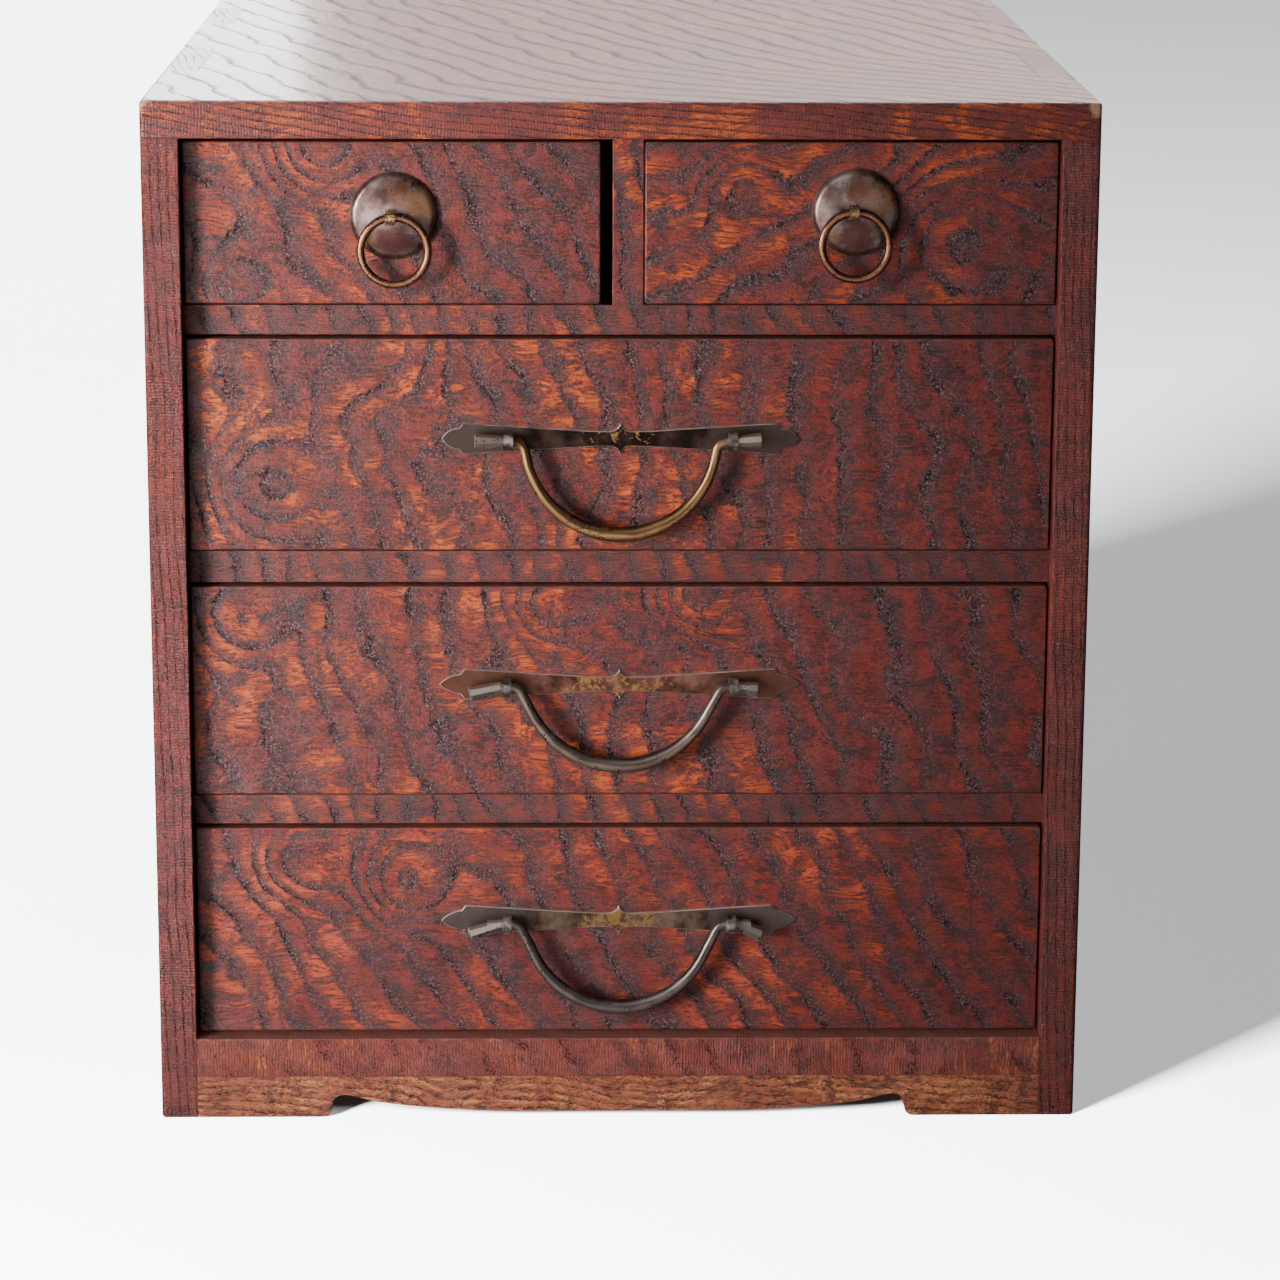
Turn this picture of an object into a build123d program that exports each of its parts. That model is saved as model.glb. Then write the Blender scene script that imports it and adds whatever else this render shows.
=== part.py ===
from build123d import *
import os
from math import cos, radians, sin, sqrt

# A small five-drawer chest of lacquered zelkova, in millimetres.
# X runs across the front, Y from the front to the back, and Z up from the floor.
# The origin is on the floor, under the middle of the carcass.

# Carcass
case_width = 364.0
case_depth = 455.0
case_height = 405.0
board_thick = 14.4
bottom_thick = 15.8
foot_height = 16.9
back_thick = 7.0
back_seam = 0.2
rabbet_height = 6.0
corner_round = 1.6
arris = 0.4
finger_gap = 0.2
old_hole_radius = 0.6
old_hole_depth = 5.0
old_hole_inset = 8.0
old_hole_height = 3.2
housing_depth = 5.0
bottom_tongue_setback = 12.0

# The top's and the sides' fingers change over at these places along each upper edge, from the front
left_finger_shares = (0.224, 0.412, 0.653, 0.809)
right_finger_shares = (0.176, 0.411, 0.653, 0.809)

# Rails over the three wide drawers, from the bottom up, and how the four rows share the height
# that the rails leave
rail_heights = (11.9, 12.6, 11.6)
opening_shares = (0.8600, 0.8580, 0.8500, 0.6500)
row_names = ("lower", "middle", "upper")
rail_recess = 10.5
rail_depth = 34.0
shelf_thick = 8.0
tongue_length = 6.0
tongue_thick = 4.0

# Divider of the top row
stile_width = 12.0
stile_right_face = 8.8
divider_thick = 15.7
divider_housing = 3.0
tenon_length = 6.0
tenon_share = 0.5

# Apron under the bottom board, cut to a low pendent curve between two feet
apron_thick = 14.4
arch_half_span = 114.2
arch_rise = 9.2
pendant_clearance = 2.4
foot_round = 3.6
arch_crown_share = 0.958
arch_shoulder_share = 0.5
apron_curve_shares = ((0.916, 0.913), (0.832, 0.674), (0.70, 0.478), (0.567, 0.348))

# Drawers
front_recess = 8.0
front_thick = 13.0
lip_thick = 6.5
front_edge_round = 0.7
front_corner_round = 1.3
side_gap = 0.6
stile_gap = 0.4
left_drawer_right_edge = -7.7
run_gap = 0.3
front_lift = 0.5
wide_top_gap = 1.2
top_row_gap = 2.0
back_gap = 1.0
drawer_side_thick = 8.0
drawer_back_thick = 8.0
drawer_bottom_thick = 6.0
side_drop = 3.0
corner_lap = 4.0

# Wooden nails
nail_radius = 1.2
nail_length = 16.0
apron_nail_radius = 1.5
apron_nail_length = 24.0
apron_nail_setback = 10.5
apron_nail_share = 0.33
back_nail_columns = 3
back_nail_rows = 5
front_nail_count = 3
back_corner_nail_count = 2
bottom_nail_count = 5

# Bail handles of the three wide drawers, from the bottom up
handle_rises = (4.2, 3.0, 2.7)
bail_drops = (34.1, 31.4, 36.5)
left_knob_tilts = (18.0, 12.0, 0.0)
right_knob_tilts = (24.0, 6.0, -4.0)
eye_half_spacings = (44.3, 44.3, 43.2)
plate_half_lengths = (70.4, 70.6, 69.0)
plate_shoulder = 60.6
plate_half_height = 6.1
plate_thick = 1.0
plate_arris = 0.25
axis_standoff = 7.0
rod_radius = 2.0
rod_clearance = 0.35
eye_strap_thick = 1.3
eye_strap_width = 3.6
leg_gap = 0.2
clench_length = 9.0
belly_radius = 2.95
belly_depth_radius = 2.35
neck_length = 0.5
left_knob_lengths = (13.0, 12.4, 10.8)
right_knob_lengths = (11.0, 7.8, 9.4)
knob_start_radius = 2.5
knob_end_radius = 3.15
knob_sides = 8
knob_chamfer = 0.7

# A bail's middle line leaves the eye level, turns down round a tight shoulder, runs straight, and
# comes round level again in one wide arc, so the turns and the drop settle the arc's radius
shoulder_turns = (64.0, 62.0, 78.0)
shoulder_radius = 4.0

# How much of the belly's extra thickness a bail has at places along its half length
bail_swell_shares = ((0.0, 0.0), (0.15, 0.0), (0.55, 0.47), (1.0, 1.0))

# Outline of a quarter of a handle plate, as shares of the shoulder's place and of the half
# height: the middle cusp, the foot of its flare, the waist, the notch and the leaf past the shoulder
plate_shares = ((0.0, 0.98), (0.07, 0.47), (0.20, 0.50), (1.028, 0.66), (1.09, 0.50))

# Ring pulls of the two small drawers: left, right. The eye stands a little off the middle of its
# dome, and the ring hangs a little to one side of its eye
dome_offsets = (0.5, 1.5)
dome_rises = (2.9, 4.4)
eye_offsets = (-0.9, -1.1)
eye_rises = (3.1, 5.3)
ring_leans = (1.4, 0.7)
dome_radius = 16.8
dome_height = 4.9
dome_bend_shares = (0.845, 0.67)
dome_wall = 0.9
ring_radius = 12.8
ring_wire_radius = 1.55
ring_clearance = 0.45
ring_strap_thick = 0.9
ring_strap_width = 3.8
ring_neck = 0.1
ring_clench_length = 7.0

# One overrun serves all cuts that pass a face
overrun = 2.0

half_width = case_width / 2
inner_half = half_width - board_thick
housed_half = inner_half + housing_depth
front_y = -case_depth / 2
back_y = case_depth / 2
panel_y = back_y - back_thick
ceiling_z = case_height - board_thick
floor_z = foot_height + bottom_thick
rail_y = front_y + rail_recess
rail_back_y = rail_y + rail_depth
face_y = front_y + front_recess
lip_y = face_y + lip_thick
inner_face_y = face_y + front_thick
drawer_back_y = panel_y - back_gap
stile_left_face = stile_right_face - stile_width
divider_left_face = stile_right_face - divider_thick
stile_x = (stile_left_face + stile_right_face) / 2
stile_y = (rail_y + rail_back_y) / 2
tenon_width = stile_width * tenon_share
tenon_depth = rail_depth * tenon_share

opening_lows = []
opening_highs = []
level = floor_z
share_height = (ceiling_z - floor_z - sum(rail_heights)) / sum(opening_shares)
for opening_share, rail_height in zip(opening_shares, rail_heights):
    opening_lows.append(level)
    opening_highs.append(level + opening_share * share_height)
    level = opening_highs[-1] + rail_height
top_opening_low = level
rail_highs = opening_lows[1:] + [top_opening_low]

ALONG_X = (0, 90, 0)
ALONG_Y = (90, 0, 0)
ALONG_Z = (0, 0, 0)


def block(x_low, x_high, y_low, y_high, z_low, z_high, mode=Mode.ADD):
    """A squared piece of wood, or a squared cut, between two corners."""
    with Locations(((x_low + x_high) / 2, (y_low + y_high) / 2, (z_low + z_high) / 2)):
        Box(x_high - x_low, y_high - y_low, z_high - z_low, mode=mode)


def nails(places, radius=nail_radius, length=nail_length, mode=Mode.ADD):
    """Round wooden nails, or the holes for them, centred on places."""
    with Locations(*places):
        Cylinder(radius, length, mode=mode)


def save(piece, name):
    """Labels a finished piece and writes it as one file."""
    piece.part.label = name
    export_step(piece.part, f"parts/{name}.step")


def spread(low, high, count):
    """Even places between two ends, with half a step left free at each end."""
    step = (high - low) / count
    return [low + step * (index + 1 / 2) for index in range(count)]


os.makedirs("parts", exist_ok=True)

# Fingers of the upper corners: where the sides' fingers come up through the top, for each side
left_cuts = [front_y + share * case_depth for share in left_finger_shares]
right_cuts = [front_y + share * case_depth for share in right_finger_shares]
side_fingers = {
    -1: ((left_cuts[0], left_cuts[1]), (left_cuts[2], left_cuts[3])),
    1: ((right_cuts[0], right_cuts[1]), (right_cuts[2], right_cuts[3])),
}
top_fingers = {
    -1: ((front_y, left_cuts[0]), (left_cuts[1], left_cuts[2]), (left_cuts[3], back_y)),
    1: ((front_y, right_cuts[0]), (right_cuts[1], right_cuts[2]), (right_cuts[3], back_y)),
}

# Nails of the back boards go into the sides, the top, the bottom board and the shelves
back_board_width = 2 * housed_half / back_nail_columns
back_seams = [-housed_half + back_board_width * index for index in range(back_nail_columns + 1)]
back_nail_depth = back_y - nail_length / 2
side_nail_x = inner_half + housing_depth / 2
back_nail_places = [
    Location((side * side_nail_x, back_nail_depth, z), ALONG_Y)
    for side in (-1, 1)
    for z in spread(floor_z, ceiling_z, back_nail_rows)
]
level_nail_heights = [foot_height + bottom_thick / 2, ceiling_z + rabbet_height / 2]
level_nail_heights += [rail_high - shelf_thick / 2 for rail_high in rail_highs]
back_nail_places += [
    Location((x, back_nail_depth, z), ALONG_Y)
    for x in spread(-inner_half, inner_half, back_nail_columns)
    for z in level_nail_heights
]

# Nails that hold the apron come down through the bottom board, behind the lowest drawer's face
foot_nail_x = (arch_half_span + foot_round + inner_half) / 2
web_nail_x = arch_half_span * apron_nail_share
apron_nail_y = front_y + apron_nail_setback
apron_nail_places = [
    Location((x, apron_nail_y, floor_z - apron_nail_length / 2), ALONG_Z)
    for x in (-foot_nail_x, -web_nail_x, web_nail_x, foot_nail_x)
]

# Top board: one wide board with three fingers at each end, a rabbet for the back boards and
# housings for the divider
with BuildPart() as top_board:
    block(-half_width, half_width, front_y, back_y, ceiling_z, case_height)
    fillet(
        top_board.faces().sort_by(Axis.Z)[-1].edges() + top_board.edges().filter_by(Axis.Z),
        corner_round,
    )
    fillet(top_board.faces().sort_by(Axis.Z)[0].edges().filter_by(Axis.X).sort_by(Axis.Y)[0], arris)
    for side in (-1, 1):
        cut_low, cut_high = sorted((side * (inner_half - finger_gap), side * (half_width + overrun)))
        for y_low, y_high in side_fingers[side]:
            block(cut_low, cut_high, y_low - finger_gap, y_high + finger_gap, ceiling_z - overrun,
                  case_height + overrun, mode=Mode.SUBTRACT)
    block(-housed_half, housed_half, panel_y, back_y + overrun, ceiling_z - overrun,
          ceiling_z + rabbet_height, mode=Mode.SUBTRACT)
    block(divider_left_face, stile_right_face, rail_back_y, panel_y, ceiling_z - overrun,
          ceiling_z + divider_housing, mode=Mode.SUBTRACT)
    with Locations((stile_x, stile_y, ceiling_z + tenon_length / 2)):
        Box(tenon_width, tenon_depth, tenon_length, mode=Mode.SUBTRACT)
    nails(back_nail_places, mode=Mode.SUBTRACT)
save(top_board, "top_board")

# Sides: down to the floor, with two fingers up through the top and stopped housings for the
# bottom board, the rails and the shelves. An old nail has left its hole low in the right one's edge
for side, name in ((-1, "left_side"), (1, "right_side")):
    inner_x, outer_x = sorted((side * inner_half, side * half_width))
    housed_low, housed_high = sorted((side * (inner_half - overrun), side * housed_half))
    cut_low, cut_high = sorted((side * (inner_half - overrun), side * (half_width + overrun)))
    with BuildPart() as side_board:
        block(inner_x, outer_x, front_y, back_y, 0, case_height)
        outer_face = side_board.faces().sort_by(Axis.X)[0 if side < 0 else -1]
        fillet(outer_face.edges(), corner_round)
        inner_face = side_board.faces().sort_by(Axis.X)[-1 if side < 0 else 0]
        fillet(inner_face.edges().filter_by(Axis.Z).sort_by(Axis.Y)[0], arris)
        for y_low, y_high in top_fingers[side]:
            block(cut_low, cut_high, y_low - (overrun if y_low == front_y else 0),
                  y_high + (overrun if y_high == back_y else 0), ceiling_z,
                  case_height + overrun, mode=Mode.SUBTRACT)
        block(housed_low, housed_high, front_y + bottom_tongue_setback, panel_y, foot_height,
              floor_z, mode=Mode.SUBTRACT)
        for rail_low, rail_high in zip(opening_highs, rail_highs):
            block(housed_low, housed_high, rail_y, rail_back_y, rail_low, rail_high,
                  mode=Mode.SUBTRACT)
            block(housed_low, housed_high, rail_back_y, panel_y, rail_high - shelf_thick,
                  rail_high, mode=Mode.SUBTRACT)
        block(housed_low, housed_high, panel_y, back_y + overrun, foot_height,
              ceiling_z + rabbet_height, mode=Mode.SUBTRACT)
        nails(back_nail_places, mode=Mode.SUBTRACT)
        if side > 0:
            nails([Location((half_width - old_hole_inset, front_y, old_hole_height), ALONG_Y)],
                  old_hole_radius, old_hole_depth * 2, mode=Mode.SUBTRACT)
    save(side_board, name)

# Bottom board: its front edge shows under the lowest drawer, its ends are tongued into the sides
with BuildPart() as bottom_board:
    block(-inner_half, inner_half, front_y, panel_y, foot_height, floor_z)
    fillet(bottom_board.faces().sort_by(Axis.Y)[0].edges().filter_by(Axis.X), arris)
    block(-housed_half, housed_half, front_y + bottom_tongue_setback, panel_y, foot_height,
          floor_z)
    nails(back_nail_places, mode=Mode.SUBTRACT)
    nails(apron_nail_places, apron_nail_radius, apron_nail_length, mode=Mode.SUBTRACT)
save(bottom_board, "bottom_board")

# Back: three thin upright boards side by side in the rabbets
with BuildPart() as back_boards:
    for x_low, x_high in zip(back_seams[:-1], back_seams[1:]):
        with BuildSketch(Plane.XY.offset(foot_height)):
            with Locations(((x_low + x_high) / 2, (panel_y + back_y) / 2)):
                Rectangle(x_high - x_low - back_seam, back_thick)
        extrude(amount=ceiling_z + rabbet_height - foot_height)
    nails(back_nail_places, mode=Mode.SUBTRACT)
save(back_boards, "back_boards")

# Apron: a board on edge between the sides, with a round-topped cut beside each foot and a long
# pendent curve between them
crown_point = (arch_crown_share * arch_half_span, arch_rise)
curve_points = [(across * arch_half_span, up * arch_rise) for across, up in apron_curve_shares]
shoulder_point = (arch_half_span, arch_shoulder_share * arch_rise)
with BuildPart() as front_apron:
    with BuildSketch(Plane.XZ.offset(-front_y)):
        with BuildLine():
            Line((inner_half, 0), (arch_half_span + foot_round, 0))
            TangentArc((arch_half_span + foot_round, 0), (arch_half_span, foot_round), tangent=(-1, 0))
            Line((arch_half_span, foot_round), shoulder_point)
            TangentArc(shoulder_point, crown_point, tangent=(0, 1))
            Spline(crown_point, *curve_points, (0, pendant_clearance), tangents=((-1, 0), (-1, 0)))
            Line((0, pendant_clearance), (0, foot_height))
            Line((0, foot_height), (inner_half, foot_height))
            Line((inner_half, foot_height), (inner_half, 0))
        make_face()
        mirror(about=Plane.YZ)
    extrude(amount=-apron_thick)
    nails(apron_nail_places, apron_nail_radius, apron_nail_length, mode=Mode.SUBTRACT)
save(front_apron, "front_apron")

# Rails over the three wide openings, and the thin shelves tongued into the rails' backs
for name, rail_low, rail_high in zip(row_names, opening_highs, rail_highs):
    tongue_low = rail_high - (shelf_thick + tongue_thick) / 2
    tongue_high = tongue_low + tongue_thick
    with BuildPart() as rail:
        block(-inner_half, inner_half, rail_y, rail_back_y, rail_low, rail_high)
        fillet(rail.faces().sort_by(Axis.Y)[0].edges().filter_by(Axis.X), arris)
        for x_low, x_high in ((-housed_half, -inner_half), (inner_half, housed_half)):
            block(x_low, x_high, rail_y, rail_back_y, rail_low, rail_high)
        block(-housed_half, housed_half, rail_back_y - tongue_length, rail_back_y + overrun,
              tongue_low, tongue_high, mode=Mode.SUBTRACT)
        if rail_high == top_opening_low:
            with Locations((stile_x, stile_y, rail_high - tenon_length / 2)):
                Box(tenon_width, tenon_depth, tenon_length, mode=Mode.SUBTRACT)
    save(rail, f"{name}_rail")

    with BuildPart() as shelf:
        block(-housed_half, housed_half, rail_back_y, panel_y, rail_high - shelf_thick, rail_high)
        block(-housed_half, housed_half, rail_back_y - tongue_length, rail_back_y, tongue_low,
              tongue_high)
        if rail_high == top_opening_low:
            block(divider_left_face, stile_right_face, rail_back_y, panel_y,
                  rail_high - divider_housing, rail_high + overrun, mode=Mode.SUBTRACT)
        nails(back_nail_places, mode=Mode.SUBTRACT)
    save(shelf, f"{name}_shelf")

# Divider of the top row: a stile tenoned between the upper rail and the top, and a thicker board
# behind it that guides the narrower left drawer
with BuildPart() as divider_stile:
    block(stile_left_face, stile_right_face, rail_y, rail_back_y, top_opening_low, ceiling_z)
    fillet(divider_stile.faces().sort_by(Axis.Y)[0].edges().filter_by(Axis.Z), arris)
    for tenon_middle in (top_opening_low - tenon_length / 2, ceiling_z + tenon_length / 2):
        with Locations((stile_x, stile_y, tenon_middle)):
            Box(tenon_width, tenon_depth, tenon_length)
save(divider_stile, "divider_stile")

with BuildPart() as divider_board:
    block(divider_left_face, stile_right_face, rail_back_y, panel_y,
          top_opening_low - divider_housing, ceiling_z + divider_housing)
    nails(back_nail_places, mode=Mode.SUBTRACT)
save(divider_board, "divider_board")

with BuildPart() as carcass_nails:
    nails(back_nail_places)
    nails(apron_nail_places, apron_nail_radius, apron_nail_length)
save(carcass_nails, "carcass_nails")


def make_drawer(name, x_low, x_high, opening_low, front_top, slots, slot_width, slot_height):
    """Front, two sides, back and bottom of one drawer, with the nails that hold them."""
    underside = opening_low + run_gap
    front_low = underside + front_lift
    bottom_top = underside + drawer_bottom_thick
    side_top = front_top - side_drop
    left_inner = x_low + drawer_side_thick
    right_inner = x_high - drawer_side_thick
    back_face_y = drawer_back_y - drawer_back_thick
    lap_y = (lip_y + inner_face_y) / 2
    back_middle_y = (back_face_y + drawer_back_y) / 2
    across = (x_low + nail_length / 2, x_high - nail_length / 2)
    level_low = underside + nail_length / 2
    places = [Location((x, lap_y, z), ALONG_X)
              for x in across for z in spread(bottom_top, side_top, front_nail_count)]
    places += [Location((x, back_middle_y, z), ALONG_X)
               for x in across for z in spread(bottom_top, side_top, back_corner_nail_count)]
    places += [Location((x, y, level_low), ALONG_Z)
               for x in (x_low + drawer_side_thick / 2, x_high - drawer_side_thick / 2)
               for y in spread(inner_face_y, back_face_y, bottom_nail_count)]
    places += [Location((x, y, level_low), ALONG_Z)
               for x in spread(left_inner, right_inner, front_nail_count)
               for y in (lap_y, back_middle_y)]

    with BuildPart() as front:
        block(x_low, x_high, face_y, inner_face_y, front_low, front_top)
        fillet(front.edges().filter_by(Axis.Y), front_corner_round)
        fillet(front.faces().sort_by(Axis.Y)[0].edges(), front_edge_round)
        for cut_low, cut_high in ((x_low - overrun, left_inner), (right_inner, x_high + overrun)):
            block(cut_low, cut_high, lip_y, inner_face_y + overrun, front_low - overrun,
                  front_top + overrun, mode=Mode.SUBTRACT)
        block(x_low - overrun, x_high + overrun, lip_y, inner_face_y + overrun,
              front_low - overrun, bottom_top, mode=Mode.SUBTRACT)
        for x, z in slots:
            block(x - slot_width / 2, x + slot_width / 2, face_y - overrun,
                  inner_face_y + overrun, z - slot_height / 2, z + slot_height / 2,
                  mode=Mode.SUBTRACT)
        nails(places, mode=Mode.SUBTRACT)
    save(front, f"{name}_front")

    for side_name, side_low, side_high, lap_low, lap_high in (
        ("left_side", x_low, left_inner, left_inner - corner_lap, left_inner + overrun),
        ("right_side", right_inner, x_high, right_inner - overrun, right_inner + corner_lap),
    ):
        with BuildPart() as drawer_side:
            block(side_low, side_high, lip_y, drawer_back_y, bottom_top, side_top)
            block(lap_low, lap_high, back_face_y, drawer_back_y + overrun, bottom_top - overrun,
                  side_top + overrun, mode=Mode.SUBTRACT)
            nails(places, mode=Mode.SUBTRACT)
        save(drawer_side, f"{name}_{side_name}")

    with BuildPart() as drawer_back:
        block(left_inner - corner_lap, right_inner + corner_lap, back_face_y, drawer_back_y,
              bottom_top, side_top)
        nails(places, mode=Mode.SUBTRACT)
    save(drawer_back, f"{name}_back")

    with BuildPart() as drawer_bottom:
        block(x_low, x_high, lip_y, drawer_back_y, underside, bottom_top)
        nails(places, mode=Mode.SUBTRACT)
    save(drawer_bottom, f"{name}_bottom")

    with BuildPart() as drawer_nails:
        nails(places)
    save(drawer_nails, f"{name}_nails")


def make_eyes(name, places, axis_y, hole_radius, strap_thick, strap_width, clench):
    """Straps bent round into eyes, whose two legs pass through the front and are bent apart."""
    legs_end_y = inner_face_y + strap_thick
    with BuildPart() as eyes:
        for x, z in places:
            with BuildSketch(Plane.YZ.offset(x - strap_width / 2)):
                with Locations((axis_y, z)):
                    Circle(hole_radius + strap_thick)
                with Locations(((axis_y + legs_end_y) / 2, z)):
                    Rectangle(legs_end_y - axis_y, strap_thick * 2 + leg_gap)
                with Locations((inner_face_y + strap_thick / 2, z)):
                    Rectangle(strap_thick, clench * 2)
                with Locations((axis_y, z)):
                    Circle(hole_radius, mode=Mode.SUBTRACT)
                with Locations(((axis_y + legs_end_y) / 2, z)):
                    Rectangle(legs_end_y - axis_y, leg_gap, mode=Mode.SUBTRACT)
            extrude(amount=strap_width)
    save(eyes, name)


# The wide drawers, from the bottom up, each with its bail handle
eye_hole_radius = rod_radius + rod_clearance
eye_legs_height = eye_strap_thick * 2 + leg_gap
axis_y = face_y - axis_standoff
wide_half = inner_half - side_gap
for row, name in enumerate(row_names):
    opening_low, opening_high = opening_lows[row], opening_highs[row]
    front_top = opening_high - wide_top_gap
    middle_z = (opening_low + run_gap + front_lift + front_top) / 2
    axis_z = middle_z + handle_rises[row]
    drop = bail_drops[row]
    eye_half_spacing = eye_half_spacings[row]
    eye_places = [(-eye_half_spacing, axis_z), (eye_half_spacing, axis_z)]
    make_drawer(f"{name}_drawer", -wide_half, wide_half, opening_low, front_top, eye_places,
                eye_strap_width, eye_legs_height)
    make_eyes(f"{name}_handle_eyes", eye_places, axis_y, eye_hole_radius, eye_strap_thick,
              eye_strap_width, clench_length)

    # Plate: thin sheet, waisted, with a cusp in the middle and a leaf at each end
    with BuildPart() as handle_plate:
        plate_plane = Plane(origin=(0, face_y, axis_z), x_dir=(1, 0, 0), z_dir=(0, -1, 0))
        with BuildSketch(plate_plane):
            cusp, flare, waist, notch, leaf = [
                (across * plate_shoulder, up * plate_half_height) for across, up in plate_shares]
            shoulder = (plate_shoulder, plate_half_height)
            tip = (plate_half_lengths[row], 0)
            with BuildLine():
                TangentArc(flare, cusp, tangent=(-1, 0))
                Polyline(flare, waist, shoulder, notch)
                ThreePointArc(notch, leaf, tip)
                Polyline(tip, (0, 0), cusp)
            make_face()
            mirror(about=Plane.YZ)
            mirror(about=Plane.XZ)
        extrude(amount=plate_thick)
        chamfer(handle_plate.faces().sort_by(Axis.Y)[0].edges(), plate_arris)
        for x, z in eye_places:
            block(x - eye_strap_width / 2, x + eye_strap_width / 2, face_y - plate_thick - overrun,
                  face_y + overrun, z - eye_legs_height / 2, z + eye_legs_height / 2,
                  mode=Mode.SUBTRACT)
    save(handle_plate, f"{name}_handle_plate")

    # Bail: a forged rod, thicker in the belly, with a faceted knob outside each eye
    rod_start = eye_half_spacing - eye_strap_width / 2 - neck_length
    knob_start = eye_half_spacing + eye_strap_width / 2 + neck_length
    rod_end = knob_start + right_knob_lengths[row] / 2
    turn = shoulder_turns[row]
    rise, run = sin(radians(turn)), cos(radians(turn))
    straight = (drop * rise - rod_start * (1 - run)) / (1 - run)
    belly_bend = (rod_start * rise - drop * run) / (1 - run) - shoulder_radius
    line_plane = Plane(origin=(0, axis_y, axis_z), x_dir=(1, 0, 0), z_dir=(0, -1, 0))
    with BuildLine(line_plane) as half_line:
        shoulder_arc = JernArc((rod_start, 0), (-1, 0), shoulder_radius, turn)
        arm = Line(shoulder_arc @ 1, shoulder_arc @ 1 + (shoulder_arc % 1) * straight)
        JernArc(arm @ 1, arm % 1, belly_bend, -turn)
    middle_line = half_line.wires()[0]
    with BuildPart() as bail:
        for place, swell in bail_swell_shares:
            section_plane = Plane(origin=middle_line @ place, x_dir=(0, 1, 0),
                                  z_dir=middle_line % place)
            with BuildSketch(section_plane):
                Ellipse(rod_radius + (belly_depth_radius - rod_radius) * swell,
                        rod_radius + (belly_radius - rod_radius) * swell)
        sweep(path=middle_line, multisection=True)
        mirror(about=Plane.YZ)
        for side, tilt, knob_length in (
            (-1, left_knob_tilts[row], left_knob_lengths[row]),
            (1, right_knob_tilts[row], right_knob_lengths[row]),
        ):
            with Locations(Location((side * (rod_start + rod_end) / 2, axis_y, axis_z), ALONG_X)):
                Cylinder(rod_radius, rod_end - rod_start)
            reach = knob_length * cos(radians(tilt))
            fall = knob_length * sin(radians(tilt))
            start_plane = Plane(origin=(side * knob_start, axis_y, axis_z), x_dir=(0, 1, 0),
                                z_dir=(side, 0, 0))
            end_plane = Plane(origin=(side * (knob_start + reach), axis_y, axis_z - fall),
                              x_dir=(0, 1, 0), z_dir=(side * reach, 0, -fall))
            with BuildSketch(start_plane):
                RegularPolygon(knob_start_radius, knob_sides)
            with BuildSketch(end_plane):
                RegularPolygon(knob_end_radius, knob_sides)
            loft(ruled=True)
            chamfer(bail.faces().sort_by(Axis.X)[-1 if side > 0 else 0].edges(), knob_chamfer)
    save(bail, f"{name}_handle_bail")

# The two small drawers of the top row, each with its ring pull
top_front_top = ceiling_z - top_row_gap
top_middle_z = (top_opening_low + run_gap + front_lift + top_front_top) / 2
ring_hole_radius = ring_wire_radius + ring_clearance
ring_legs_height = ring_strap_thick * 2 + leg_gap
ring_axis_y = face_y - dome_height - ring_hole_radius - ring_strap_thick - ring_neck
for pull, (name, x_low, x_high) in enumerate((
    ("left", -inner_half + side_gap, left_drawer_right_edge),
    ("right", stile_right_face + stile_gap, inner_half - side_gap),
)):
    dome_x = (x_low + x_high) / 2 + dome_offsets[pull]
    eye_x = dome_x + eye_offsets[pull]
    eye_z = top_middle_z + eye_rises[pull]
    dome_z = top_middle_z + dome_rises[pull]
    make_drawer(f"{name}_drawer", x_low, x_high, top_opening_low, top_front_top,
                [(eye_x, eye_z)], ring_strap_width, ring_legs_height)
    make_eyes(f"{name}_pull_eye", [(eye_x, eye_z)], ring_axis_y, ring_hole_radius,
              ring_strap_thick, ring_strap_width, ring_clench_length)

    # Plate: a hollow dome of thin sheet, standing on its rim
    with BuildPart() as pull_plate:
        profile_plane = Plane(origin=(dome_x, face_y, dome_z), x_dir=(1, 0, 0), z_dir=(0, 0, -1))
        with BuildSketch(profile_plane):
            with BuildLine():
                for radius, height in ((dome_radius, dome_height),
                                       (dome_radius - dome_wall, dome_height - dome_wall)):
                    bend = (dome_bend_shares[0] * radius, dome_bend_shares[1] * height)
                    crown = TangentArc((0, height), bend, tangent=(1, 0))
                    TangentArc(bend, (radius, 0), tangent=crown % 1)
                Line((dome_radius - dome_wall, 0), (dome_radius, 0))
                Line((0, dome_height - dome_wall), (0, dome_height))
            make_face()
        revolve(axis=Axis((dome_x, face_y, dome_z), (0, -1, 0)))
        block(eye_x - ring_strap_width / 2, eye_x + ring_strap_width / 2,
              face_y - dome_height - overrun, face_y + overrun, eye_z - ring_legs_height / 2,
              eye_z + ring_legs_height / 2, mode=Mode.SUBTRACT)
    save(pull_plate, f"{name}_pull_plate")

    lean = ring_leans[pull]
    ring_drop = sqrt(ring_radius ** 2 - lean ** 2)
    with BuildPart() as ring:
        with Locations(Location((eye_x + lean, ring_axis_y, eye_z - ring_drop), ALONG_Y)):
            Torus(ring_radius, ring_wire_radius)
    save(ring, f"{name}_pull_ring")
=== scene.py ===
import math

import bmesh
import bpy
from mathutils import Matrix, Vector


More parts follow.
